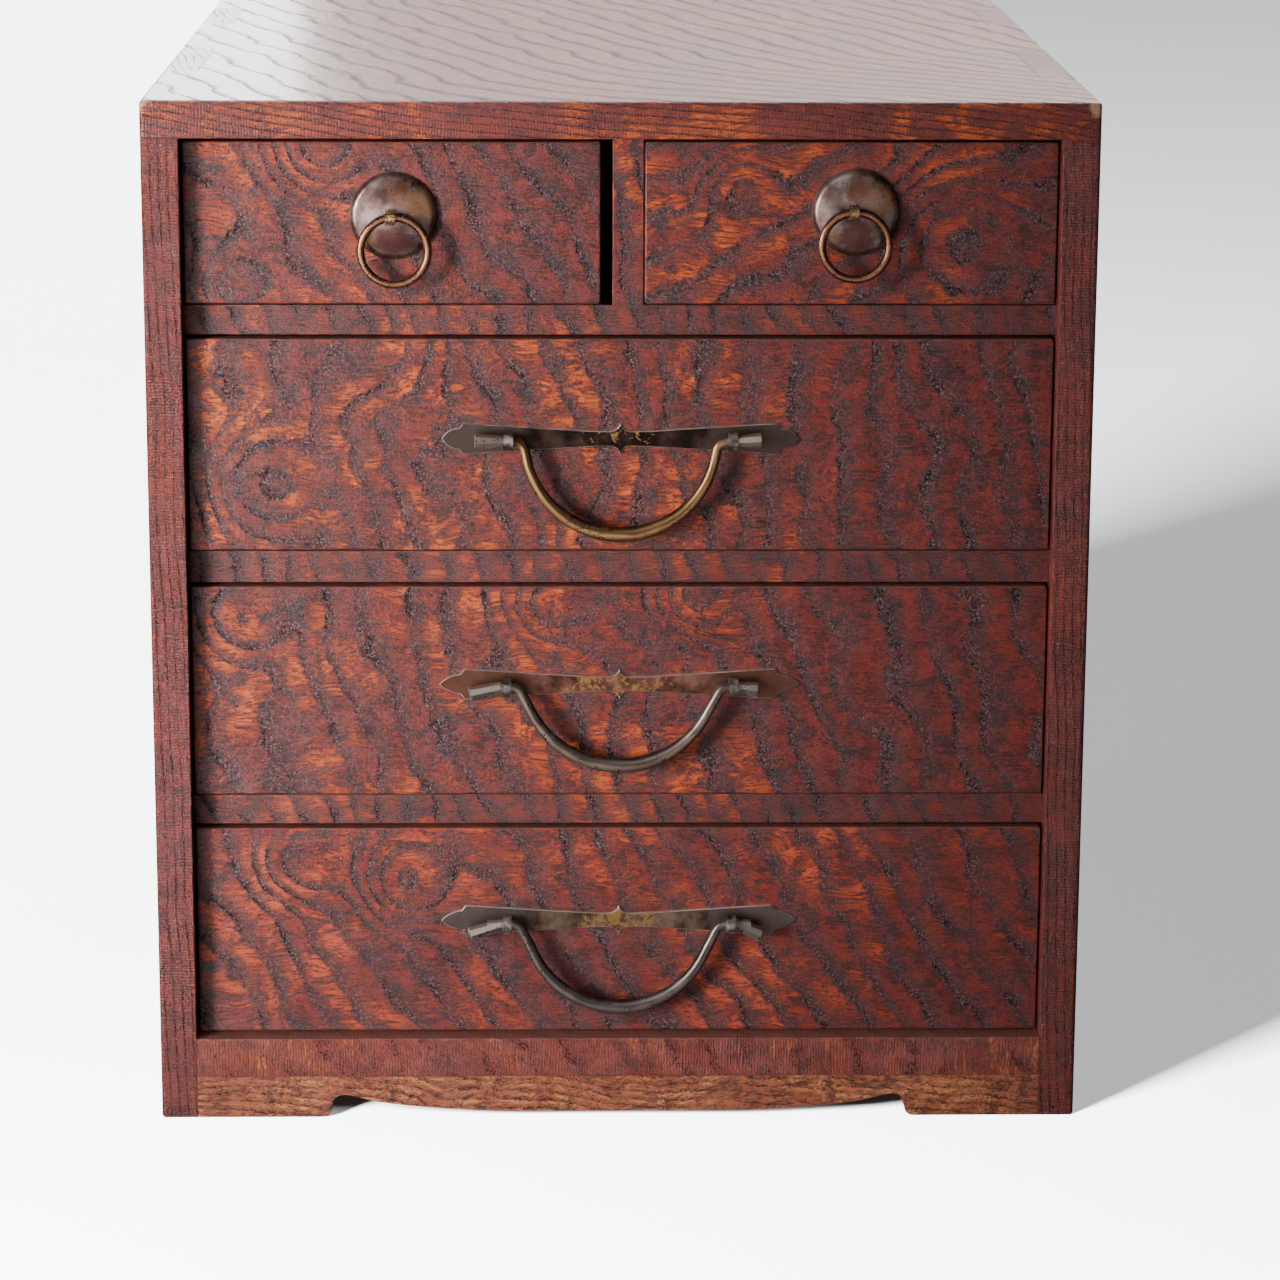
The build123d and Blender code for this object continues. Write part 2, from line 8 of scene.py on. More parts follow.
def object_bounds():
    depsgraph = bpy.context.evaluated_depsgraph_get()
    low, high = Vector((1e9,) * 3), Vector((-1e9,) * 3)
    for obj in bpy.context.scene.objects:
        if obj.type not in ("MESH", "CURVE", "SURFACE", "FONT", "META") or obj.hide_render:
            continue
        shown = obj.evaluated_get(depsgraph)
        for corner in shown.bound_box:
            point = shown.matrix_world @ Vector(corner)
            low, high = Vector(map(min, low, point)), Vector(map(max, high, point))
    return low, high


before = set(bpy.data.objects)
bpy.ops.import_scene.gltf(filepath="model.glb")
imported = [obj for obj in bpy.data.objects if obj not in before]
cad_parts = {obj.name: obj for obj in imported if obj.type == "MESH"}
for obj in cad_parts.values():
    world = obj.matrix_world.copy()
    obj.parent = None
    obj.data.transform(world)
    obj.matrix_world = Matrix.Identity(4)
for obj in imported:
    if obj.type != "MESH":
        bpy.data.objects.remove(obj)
cad_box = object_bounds()

# Camera: a long lens a little above the chest and a little left of its middle, looking down at the
# front, as the photograph was taken.
camera_place = Vector((-0.02706, -1.8543, 0.5922))
camera_yaw, camera_pitch, camera_roll = 0.021405, 0.238974, 0.004316
ahead = Vector((math.sin(camera_yaw) * math.cos(camera_pitch),
                math.cos(camera_yaw) * math.cos(camera_pitch), -math.sin(camera_pitch)))
level = Vector((math.cos(camera_yaw), -math.sin(camera_yaw), 0))
above = level.cross(ahead)
camera_right = level * math.cos(camera_roll) + above * math.sin(camera_roll)
camera_up = above * math.cos(camera_roll) - level * math.sin(camera_roll)
camera = bpy.data.objects.new("camera", bpy.data.cameras.new("camera"))
camera.data.sensor_width = 36
camera.data.lens = 121.13
camera.data.clip_start = 0.05
camera.matrix_world = Matrix.Translation(camera_place) @ Matrix(
    (camera_right, camera_up, -ahead)).transposed().to_4x4()
bpy.context.scene.collection.objects.link(camera)
bpy.context.scene.camera = camera


# Studio: a soft lamp in front on the left, a nearer gridded one that fades to the right, lamps above
# and behind, and a strip and a wide card that the glossy top mirrors. Two cards are for the metal
# alone and one lamp for the floor alone, and a pale room lies all round.
def hue(code):
    """An sRGB hex colour as linear red, green, blue and alpha."""
    parts = [int(code[start:start + 2], 16) / 255 for start in (0, 2, 4)]
    return tuple(v / 12.92 if v <= 0.04045 else ((v + 0.055) / 1.055) ** 2.4 for v in parts) + (1,)


def lamp(name, place, aim, width, height, watts, spread=180.0, tint="FFFFFF"):
    """A rectangular area lamp at a place, turned to an aim point."""
    data = bpy.data.lights.new(name, "AREA")
    data.shape, data.size, data.size_y, data.energy = "RECTANGLE", width, height, watts
    data.spread = math.radians(spread)
    data.color = hue(tint)[:3]
    made = bpy.data.objects.new(name, data)
    made.location = place
    made.rotation_euler = (Vector(aim) - Vector(place)).to_track_quat("-Z", "Y").to_euler()
    made.visible_camera = False
    bpy.context.scene.collection.objects.link(made)
    return made


chest_lamps = [
    lamp("key_lamp", (-1.65, -1.95, 1.0), (0, 0, 0.2), 0.5, 0.5, 3.6),
    lamp("near_lamp", (-0.55, -0.62, 0.31), (-0.1, -0.234, 0.26), 0.16, 0.6, 0.92, spread=44),
    lamp("left_card", (-0.36, -0.62, 0.20), (-0.22, -0.22, 0.20), 0.26, 0.40, 0.3),
    lamp("top_lamp", (-0.2, 0.9, 2.4), (0, 0.1, 0.3), 2.2, 2.2, 60),
    lamp("back_lamp", (1.3, 1.7, 2.3), (0, 0, 0.2), 1.0, 1.0, 65),
    lamp("low_card", (-0.5, -1.1, 0.2), (-0.15, -0.22, 0.2), 0.7, 0.4, 2.6),
    lamp("strip_lamp", (-0.44, 3.2, 0.42), (-0.44, 0, 0.4), 0.24, 0.7, 5.5),
    lamp("card_lamp", (0.2, 3.6, 1.2), (0, 0, 0.4), 3.2, 1.3, 30, tint="FFE8E2")]
metal_cards = [
    lamp("floor_card", (-0.2, -1.3, 0.02), (0, -0.3, 0.5), 2.0, 1.4, 3.5),
    lamp("room_card", (-0.7, -2.0, 1.6), (0, 0, 0.2), 1.2, 1.0, 6)]
floor_lamp = lamp("floor_lamp", (-1.65, -1.95, 1.0), (0.3, 0.3, 0.0), 0.6, 0.6, 1500)
world = bpy.data.worlds.new("room")
world.use_nodes = True
world.node_tree.nodes["Background"].inputs["Color"].default_value = hue("E9ECF2")
world.node_tree.nodes["Background"].inputs["Strength"].default_value = 0.08
bpy.context.scene.world = world


# Floor: a wide pale studio sweep, matt painted. It glows faintly as painted light, far more so far back
# on the left, so that it is as bright there as beside the chest, and hardly at all under the chest, which
# paints the shade beneath it.
def add(tree, kind, inputs=(), stops=(), **settings):
    """Adds one shader node. Inputs are numbers, hex colours, sockets or nodes, by socket name or
    number: a Map Range takes its value, from low, from high, to low and to high as 0 to 4, and a Mix
    its share and two colours as 0, 6 and 7. Stops are a ramp's places with a grey or a hex colour."""
    made = tree.nodes.new("ShaderNode" + kind)
    for name, value in settings.items():
        setattr(made, name, value)
    for index, (place, value) in enumerate(stops):
        ramp = made.color_ramp.elements
        stop = ramp[index] if index < 2 else ramp.new(place)
        stop.position = place
        stop.color = hue(value) if isinstance(value, str) else (value, value, value, 1)
    for key, value in dict(inputs).items():
        if isinstance(value, str):
            value = hue(value)
        if isinstance(value, bpy.types.Node):
            value = next(socket for socket in value.outputs if socket.enabled)
        if isinstance(value, bpy.types.NodeSocket):
            tree.links.new(value, made.inputs[key])
        else:
            made.inputs[key].default_value = value
    return made


floor_half = 9.0
painted_shade_glow, floor_glow, left_glow = 0.01, 0.6, 5.9
glow_right, glow_left, glow_depth = 0.25, -0.3, 1.2
chest_half_width, chest_back = cad_box[1][0], cad_box[1][1]
grid = bmesh.new()
bmesh.ops.create_grid(grid, x_segments=1, y_segments=1, size=floor_half)
floor_mesh = bpy.data.meshes.new("floor")
grid.to_mesh(floor_mesh)
grid.free()
floor = bpy.data.objects.new("floor", floor_mesh)
bpy.context.scene.collection.objects.link(floor)
floor_paint = bpy.data.materials.new("pale_floor_paint")
floor_paint.use_nodes = True
tree = floor_paint.node_tree
tree.nodes.clear()
coords = add(tree, "TexCoord")
cloud = add(tree, "TexNoise", {"Vector": coords.outputs["Object"], "Scale": 0.7, "Detail": 2.0})
tint = add(tree, "ValToRGB", {"Fac": cloud}, stops=((0.3, "E8EAEE"), (0.7, "F3F4F7")))
share = add(tree, "VectorMath", {0: coords.outputs["Object"],
                                 1: (1 / chest_half_width, 1 / chest_back, 0)}, operation="MULTIPLY")
share = add(tree, "SeparateXYZ", {0: add(tree, "VectorMath", {0: share}, operation="ABSOLUTE")})
around = add(tree, "Math", {0: share.outputs["X"], 1: share.outputs["Y"]}, operation="MAXIMUM")
# under the chest the glow drops almost to nothing: painted shade beneath the chest
glow = add(tree, "MapRange", {0: around, 1: 0.94, 2: 1.0, 3: painted_shade_glow, 4: floor_glow})
where = add(tree, "SeparateXYZ", {0: coords.outputs["Object"]})
leftward = add(tree, "MapRange", {0: where.outputs["X"], 1: glow_right, 2: glow_left, 3: 0.0,
                                  4: left_glow}, interpolation_type="SMOOTHSTEP")
clear = add(tree, "MapRange", {0: around, 1: 0.94, 2: 1.2})
leftward = add(tree, "Math", {0: leftward, 1: clear}, operation="MULTIPLY")
fading = add(tree, "Math", {0: where.outputs["Y"], 1: -1 / glow_depth}, operation="MULTIPLY")
fading = add(tree, "Math", {0: fading}, operation="EXPONENT")
far_back = add(tree, "Math", {0: 1.0, 1: fading}, operation="SUBTRACT", use_clamp=True)
glow = add(tree, "Math", {0: leftward, 1: far_back, 2: glow}, operation="MULTIPLY_ADD")
paint = add(tree, "BsdfPrincipled", {"Base Color": tint, "Roughness": 0.6, "Emission Color": "F2F4F8",
                                     "Emission Strength": glow})
add(tree, "OutputMaterial", {"Surface": paint})
floor_mesh.materials.append(floor_paint)
floor.visible_diffuse = False
floor.visible_glossy = False

# Lamp screens: as flags and nets do in a studio, they keep the chest's lamps off the floor, the
# floor's lamp off the chest, and the two metal cards off the wood.
metals = [part for node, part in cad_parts.items()
          if node.endswith(("_bail", "_plate", "_eye", "_eyes", "_ring"))]
for lamps, pieces, state in (([floor_lamp], [floor], "INCLUDE"), (metal_cards, metals, "INCLUDE"),
                             (chest_lamps, [floor], "EXCLUDE")):
    for source in lamps:
        receivers = bpy.data.collections.new(source.name + "_receivers")
        source.light_linking.receiver_collection = receivers
        for piece in pieces:
            receivers.objects.link(piece)
        for link in receivers.collection_objects:
            link.light_linking.link_state = state


# Boards: ring-porous wood whose growth rings are contour lines of a tilted, dented height field, so
# they run straight, waver or close into eyes. The red lacquer is thin and wiped, so patches of the wood
# glow through it, and it sinks into the open pores, which hold pale specks painted as dust and as glints.
to_millimetres = (1000, 1000, 1000)


def board(name, growth, fibre, eyes=(), wander=0.5, seed=0.0, deep="360B0C", warm="84241C",
          ember="94361F", bright="DA642C", glow=1.15, fade=(500, 600), pores="3A3438", lines=0.68,
          pore_share=0.4, pore_depth=0.7, swirl=9.0, ripple=0.0, ripple_way="Z", dust_and_light=0.4,
          worn=(), rough=0.42, coat=0.3, top_coat=0.3, coat_rough=0.22, relief=1.0, steady=0.65,
          bare_back=0.0):
    """A wood finish. Growth gives the rings per millimetre along each axis, fibre the length of the
    flecks along each axis in millimetres, each eye is x, y, z, radius and rings, the glow fades
    between two places along x, each worn corner is x, y, z and radius, steady is how strong a ring
    stays where it is faintest, and bare_back 1 leaves the face that looks backward unlacquered."""
    uneven_size, pore_size, glint_size = 17, 1.1, 0.7
    swirl_size, glow_size, mottle_size = 22, 40, 7
    ripple_scale, relief_depth = 0.27, 0.00025
    pit_black, dust_and_glint_grey, dust_and_light_rose = "14100F", "B8A8A8", "AC7468"
    rubbed_wood, bare_low, bare_high = "CFA184", "86603C", "B48A58"
    made = bpy.data.materials.new(name)
    made.use_nodes = True
    tree = made.node_tree
    tree.nodes.clear()
    coords = add(tree, "TexCoord")
    spot = add(tree, "VectorMath", {0: coords.outputs["Object"], 1: to_millimetres}, operation="MULTIPLY")
    mm = add(tree, "VectorMath", {0: spot, 1: (seed, seed * 0.7, seed * 1.3)}, operation="ADD")

    # height field: tilt, eyes, slow wander, small waver and a ragged edge
    field = add(tree, "VectorMath", {0: spot, 1: growth}, operation="DOT_PRODUCT")
    for x, y, z, radius, rings in eyes:
        reach = add(tree, "VectorMath", {0: spot, 1: (x, y, z)}, operation="DISTANCE")
        dent = add(tree, "MapRange", {0: reach, 1: 0.0, 2: radius, 3: rings, 4: 0.0},
                   interpolation_type="SMOOTHSTEP")
        field = add(tree, "Math", {0: field, 1: dent}, operation="ADD")
    for size, amount, detail in ((46, 3.0, 1.0), (13, 0.65, 2.0), (2.8, 0.45, 2.0)):
        waver = add(tree, "TexNoise", {"Vector": mm, "Scale": 1 / size, "Detail": detail})
        field = add(tree, "Math", {0: waver, 1: amount * wander, 2: field}, operation="MULTIPLY_ADD")
    ring = add(tree, "Math", {0: field}, operation="FRACT")

    # the open-pored early wood of each ring starts sharply and fades out
    early = add(tree, "ValToRGB", {"Fac": ring}, stops=(
        (0.0, 0.85), (0.05, 1.0), (pore_share * 0.3, 0.85), (pore_share * 0.6, 0.72),
        (pore_share, 0.42), (pore_share * 1.2 + 0.15, 0.0), (0.9, 0.0), (1.0, 0.85)))
    uneven = add(tree, "TexNoise", {"Vector": mm, "Scale": 1 / uneven_size, "Detail": 2.0})
    uneven = add(tree, "MapRange", {0: uneven, 1: 0.36, 2: 0.6, 3: steady, 4: 1.0})
    early = add(tree, "Math", {0: early, 1: uneven}, operation="MULTIPLY")
    core = add(tree, "Math", {0: early, 1: 3.0}, operation="POWER")
    grit = add(tree, "TexNoise", {"Vector": mm, "Scale": 1 / pore_size, "Detail": 2.0, "Roughness": 0.7})
    pit_low = add(tree, "Math", {0: core, 1: -0.22, 2: 0.64}, operation="MULTIPLY_ADD")
    pit_high = add(tree, "Math", {0: pit_low, 1: 0.12}, operation="ADD")
    pits = add(tree, "MapRange", {0: grit, 1: pit_low, 2: pit_high})
    spark = add(tree, "TexNoise", {"Vector": spot, "Scale": 1 / glint_size, "Detail": 1.0})
    spark = add(tree, "MapRange", {0: spark, 1: 0.54, 2: 0.66})
    open_pore = add(tree, "MapRange", {0: core, 3: 0.2, 4: 1.0})
    spark = add(tree, "Math", {0: spark, 1: open_pore}, operation="MULTIPLY")

    # flecks lie along the swirling fibre, and glow in patches between the rings
    drift = add(tree, "TexNoise", {"Vector": mm, "Scale": 1 / swirl_size, "Detail": 1.0})
    along = add(tree, "VectorMath", {0: mm, 1: fibre}, operation="DIVIDE")
    along = add(tree, "VectorMath", {0: drift.outputs["Color"], 1: (swirl, swirl, swirl), 2: along},
                operation="MULTIPLY_ADD")
    strand = add(tree, "TexNoise", {"Vector": along, "Scale": 1.0, "Detail": 3.0, "Roughness": 0.7})
    flecks = add(tree, "MapRange", {0: strand, 1: 0.4, 2: 0.6, 3: 0.1, 4: 1.0})
    wide_patch = add(tree, "TexNoise", {"Vector": mm, "Scale": 1 / glow_size, "Detail": 2.0})
    wide_patch = add(tree, "MapRange", {0: wide_patch, 1: 0.4, 2: 0.56, 3: 0.12, 4: 1.0})
    flame = add(tree, "VectorMath", {0: along, 1: (0.36, 0.12, 0.11)}, operation="MULTIPLY")
    patch = add(tree, "TexNoise", {"Vector": flame, "Scale": 1.0, "Detail": 3.0, "Roughness": 0.6})
    patch = add(tree, "MapRange", {0: patch, 1: 0.38, 2: 0.64, 3: 0.0, 4: glow})
    between = add(tree, "MapRange", {0: early, 1: 0.1, 2: 0.7, 3: 1.0, 4: 0.2})
    patch = add(tree, "Math", {0: patch, 1: between}, operation="MULTIPLY")
    patch = add(tree, "Math", {0: patch, 1: wide_patch}, operation="MULTIPLY")
    across = add(tree, "VectorMath", {0: spot, 1: (1, 0, 0)}, operation="DOT_PRODUCT")
    across = add(tree, "MapRange", {0: across, 1: fade[0], 2: fade[1], 3: 1.0, 4: 0.25})
    patch = add(tree, "Math", {0: patch, 1: across}, operation="MULTIPLY")
    shine = add(tree, "Math", {0: flecks, 1: patch}, operation="MULTIPLY", use_clamp=True)

    # colours: the stained lacquer, the glow, bare wood behind, the pores, their painted glints and dust,
    # dust with painted light on upward faces, and worn corners
    mottle = add(tree, "TexNoise", {"Vector": mm, "Scale": 1 / mottle_size, "Detail": 4.0,
                                    "Roughness": 0.65})
    stain = add(tree, "Math", {0: strand, 1: mottle}, operation="ADD")
    stain = add(tree, "MapRange", {0: stain, 1: 0.87, 2: 1.13})
    colour = add(tree, "Mix", {0: stain, 6: deep, 7: warm}, data_type="RGBA")
    faint_glow = add(tree, "MapRange", {0: shine, 1: 0.0, 2: 0.4})
    colour = add(tree, "Mix", {0: faint_glow, 6: colour, 7: ember}, data_type="RGBA")
    full_glow = add(tree, "MapRange", {0: shine, 1: 0.2, 2: 0.8})
    colour = add(tree, "Mix", {0: full_glow, 6: colour, 7: bright}, data_type="RGBA")
    normal = coords.outputs["Normal"]
    backward = add(tree, "VectorMath", {0: normal, 1: (0, 1, 0)}, operation="DOT_PRODUCT")
    backward = add(tree, "MapRange", {0: backward, 1: 0.6, 2: 0.9, 3: 0.0, 4: bare_back})
    if bare_back:
        planed = add(tree, "Mix", {0: stain, 6: bare_low, 7: bare_high}, data_type="RGBA")
        colour = add(tree, "Mix", {0: backward, 6: colour, 7: planed}, data_type="RGBA")
        lines = add(tree, "MapRange", {0: backward, 3: lines, 4: lines * 0.3})
    veil = add(tree, "Math", {0: early, 1: lines}, operation="MULTIPLY")
    colour = add(tree, "Mix", {0: veil, 6: colour, 7: pores}, data_type="RGBA")
    dark = add(tree, "Math", {0: pits, 1: pore_depth}, operation="MULTIPLY")
    colour = add(tree, "Mix", {0: dark, 6: colour, 7: pit_black}, data_type="RGBA")
    # pale specks in the open pores: dust, and painted glints of light
    glint = add(tree, "Math", {0: spark, 1: 0.4}, operation="MULTIPLY")
    colour = add(tree, "Mix", {0: glint, 6: colour, 7: dust_and_glint_grey}, data_type="RGBA")
    # upward faces are paled toward rose: dust, and painted light on the top arrises and ledges
    upward = add(tree, "VectorMath", {0: normal, 1: (0, 0, 1)}, operation="DOT_PRODUCT")
    upward_dust_and_light = add(tree, "MapRange", {0: upward, 1: 0.2, 2: 0.8, 3: 0.0, 4: dust_and_light})
    colour = add(tree, "Mix", {0: upward_dust_and_light, 6: colour, 7: dust_and_light_rose}, data_type="RGBA")
    for x, y, z, radius in worn:
        reach = add(tree, "VectorMath", {0: spot, 1: (x, y, z)}, operation="DISTANCE")
        bared = add(tree, "MapRange", {0: reach, 1: radius * 0.3, 2: radius, 3: 0.5, 4: -0.4})
        bared = add(tree, "Math", {0: bared, 1: mottle}, operation="ADD")
        bared = add(tree, "MapRange", {0: bared, 1: 0.5, 2: 0.7, 3: 0.0, 4: 0.8})
        colour = add(tree, "Mix", {0: bared, 6: colour, 7: rubbed_wood}, data_type="RGBA")

    # pores sink and lose their gloss, flecks stand a little proud, and the plane leaves ripples 1.2 mm
    # apart, because a wave texture of scale 1 has its bands 0.31 units apart
    height = add(tree, "Math", {0: pits, 1: -0.8, 2: 1.0}, operation="MULTIPLY_ADD")
    height = add(tree, "Math", {0: early, 1: -0.3, 2: height}, operation="MULTIPLY_ADD")
    height = add(tree, "Math", {0: strand, 1: 1.8, 2: height}, operation="MULTIPLY_ADD")
    height = add(tree, "Math", {0: grit, 1: 1.2, 2: height}, operation="MULTIPLY_ADD")
    # the troughs of the ripples are darkened in colour as well as sunk: painted shade in the ripples
    if ripple:
        chatter = add(tree, "TexWave", {"Vector": mm, "Scale": ripple_scale, "Distortion": 7.0,
                                        "Detail": 3.0, "Detail Scale": 0.3},
                      bands_direction=ripple_way)
        shade = add(tree, "MapRange", {0: chatter, 3: ripple, 4: 0.0})
        colour = add(tree, "Mix", {0: shade, 6: colour, 7: deep}, data_type="RGBA")
        height = add(tree, "Math", {0: chatter, 1: ripple, 2: height}, operation="MULTIPLY_ADD")
    bump = add(tree, "Bump", {"Height": height, "Strength": 0.9 * relief, "Distance": relief_depth})
    gloss = add(tree, "MapRange", {0: core, 3: rough, 4: rough + 0.25})
    dull = add(tree, "Math", {0: core, 1: pits}, operation="MAXIMUM")
    film = add(tree, "MapRange", {0: upward, 1: 0.2, 2: 0.8, 3: coat, 4: top_coat})
    unfilled = add(tree, "MapRange", {0: dull, 3: 1.0, 4: 0.1})
    film = add(tree, "Math", {0: film, 1: unfilled}, operation="MULTIPLY")
    lacquered = add(tree, "MapRange", {0: backward, 3: 1.0, 4: 0.0})
    film = add(tree, "Math", {0: film, 1: lacquered}, operation="MULTIPLY")
    mirror = add(tree, "MapRange", {0: shine, 1: 0.0, 2: 0.5, 3: 0.85, 4: 0.35})
    scattered = add(tree, "MapRange", {0: dull, 3: 0.9, 4: 0.15})
    mirror = add(tree, "Math", {0: mirror, 1: scattered}, operation="MULTIPLY")
    wood = add(tree, "BsdfPrincipled", {"Base Color": colour, "Roughness": gloss, "Normal": bump,
                                        "Specular IOR Level": mirror, "Coat Weight": film,
                                        "Coat Roughness": coat_rough, "Coat Normal": bump})
    add(tree, "OutputMaterial", {"Surface": wood})
    return made


def dress(node, material):
    """Gives a carried-over CAD node its finish."""
    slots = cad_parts[node].data.materials
    slots.clear()
    slots.append(material)


# Top board: one wide zelkova board under thick glossy lacquer, its rings running from end to end and
# its front edge finely lined. Its fingers lock into the sides', and both front corners are worn bare.
case_half, case_front, case_top = 182, -227, 404
dress("top_board", board("top_lacquered_zelkova", (0.06, 0.02, 0.33), (5, 0.9, 0.9), wander=0.32,
                         eyes=((180, -350, 400, 320, -9.0),), seed=311, top_coat=1.0, coat_rough=0.12,
                         deep="5A1712", warm="8A2A1E", ember="A03E22", bright="E06A28", glow=1.0,
                         pore_share=0.22, ripple=0.2, ripple_way="X", dust_and_light=0.0, steady=0.85,
                         worn=((case_half, case_front, case_top, 9),
                               (-case_half, case_front, case_top, 4))))

# Sides: upright zelkova boards, finger-jointed to the top, that show their edges in front. They have
# faint upright lines crossed by the ripples of the plane, under a duller lacquer.
for node, seed in (("left_side", 17), ("right_side", 940)):
    dress(node, board(node + "_lacquered_zelkova", (0.3, 0.05, 0.008), (0.7, 0.7, 3.4), wander=0.4,
                      seed=seed, deep="501414", warm="962E26", glow=0.6, pores="3C2426", lines=0.4,
                      pore_share=0.26, pore_depth=0.25, swirl=3.0, ripple=0.5, relief=1.3, dust_and_light=0.0,
                      rough=0.5, top_coat=1.0, coat_rough=0.14))

# Bottom board and apron: zelkova, the board tongued into the sides and the apron pegged under it.
# Both show below the drawers, browner than the rest, with upright ripples on the board's edge and
# short curly grain on the apron.
# its upward faces are paled strongly toward rose: dust, and painted light on the ledge below the drawers
dress("bottom_board", board("bottom_lacquered_zelkova", (0.06, 0.05, 0.03), (0.6, 3, 2.6), wander=1.0,
                            seed=77, deep="60201A", warm="AC4838", bright="DC7C54", lines=0.2,
                            pore_depth=0.5, swirl=14.0, ripple=0.3, ripple_way="X", dust_and_light=0.75,
                            relief=1.4))
dress("front_apron", board("apron_lacquered_zelkova", (0.03, 0.16, 0.3), (2.6, 1, 0.7), wander=1.6,
                           seed=505, deep="5C2416", warm="C8683F", ember="D07844", bright="F0A070",
                           lines=0.2, pore_depth=0.7, swirl=16.0, relief=1.6))

# Rails and stile: slim lacquered pieces of zelkova that part the drawers, crossed by dark bands. The
# rails sit in stopped housings in the sides, and the stile is tenoned into the upper rail and the top.
for node, seed in (("lower_rail", 31), ("middle_rail", 420), ("upper_rail", 873)):
    dress(node, board(node + "_lacquered_zelkova", (0.085, 0.03, 0.03), (4, 1, 0.6), wander=0.8,
                      seed=seed, warm="7A2019", glow=0.85, fade=(30, 130)))
dress("divider_stile", board("stile_lacquered_zelkova", (0.09, 0.05, 0.02), (3, 1, 0.7), wander=0.8,
                             seed=64, glow=1.3))

# Drawer fronts: strongly figured zelkova, each cut from another place of the plank, lapped and pegged
# to its sides. Each has its own rings and eyes and fades to the right, and its inner face is bare.
front_face = -219.5
front_figures = {
    "lower": ((0.062, 0.02, 0.036), ((-86.7, 94.1, 30, 2.8), (-126.1, 102.4, 26, 2.0)),
              0.6, 12, (70, 170), "CC5A3A"),
    "middle": ((0.06, 0.02, 0.018), ((-29.2, 207.9, 28, 2.2), (27.4, 209.9, 24, 2.2),
                                     (-149.9, 202.0, 26, 2.0)), 0.85, 233, (20, 80), "DA642C"),
    "upper": ((0.066, 0.02, 0.008), ((-139.3, 253.6, 34, 3.0), (-90, 320, 40, -2.0)),
              0.9, 655, (10, 90), "E06A2C"),
    "left": ((0.062, 0.02, 0.04), ((-118.2, 385.4, 26, 2.5), (-150, 330, 26, 2.0)),
             0.7, 91, (-110, -40), "D25E34"),
    "right": ((0.035, 0.02, -0.06), ((44, 372, 22, 2.0), (128, 352, 40, 3.0)),
              0.9, 745, (60, 180), "DA642C"),
}
for row, (growth, eyes, wander, seed, fade, bright) in front_figures.items():
    placed_eyes = [(x, front_face, z, radius, rings) for x, z, radius, rings in eyes]
    dress(f"{row}_drawer_front", board(f"{row}_front_lacquered_zelkova", growth, (4.2, 1, 0.85),
                                       eyes=placed_eyes, wander=wander, seed=seed, bright=bright,
                                       fade=fade, bare_back=1.0))

# Drawer insides, shelves and back: planed softwood left bare and browned by age, with fine straight
# grain. Each finish follows the way its boards were sawn: front to back, side to side or upright.
softwood = dict(deep="7C5A38", warm="94704A", bright="B08D62", pores="735234", rough=0.62, coat=0.0,
                ember="A07850", dust_and_light=0.0, pore_share=0.3, pore_depth=0.15, wander=0.35, relief=0.4)
lengthwise = board("bare_softwood_front_to_back", (0.16, 0.01, 0.1), (0.8, 9, 0.8), seed=5, **softwood)
crosswise = board("bare_softwood_side_to_side", (0.01, 0.14, 0.12), (9, 0.8, 0.8), seed=8, **softwood)
upright = board("bare_softwood_upright", (0.13, 0.12, 0.01), (0.8, 0.8, 9), seed=3, **softwood)
for row in front_figures:
    dress(f"{row}_drawer_left_side", lengthwise)
    dress(f"{row}_drawer_right_side", lengthwise)
    dress(f"{row}_drawer_back", crosswise)
    dress(f"{row}_drawer_bottom", crosswise)
for node in ("lower_shelf", "middle_shelf", "upper_shelf"):
    dress(node, crosswise)
dress("divider_board", lengthwise)
dress("back_boards", upright)

# Wooden nails: whittled pegs of paler wood, driven into drilled holes and cut off flush, so only
# their round ends show.
pegs = board("whittled_peg_end_grain", (0.8, 0.8, 0.8), (0.6, 0.6, 0.6), seed=2,
             **dict(softwood, deep="8E7450", warm="A88C62"))
for node in ["carcass_nails"] + [f"{row}_drawer_nails" for row in front_figures]:
    dress(node, pegs)
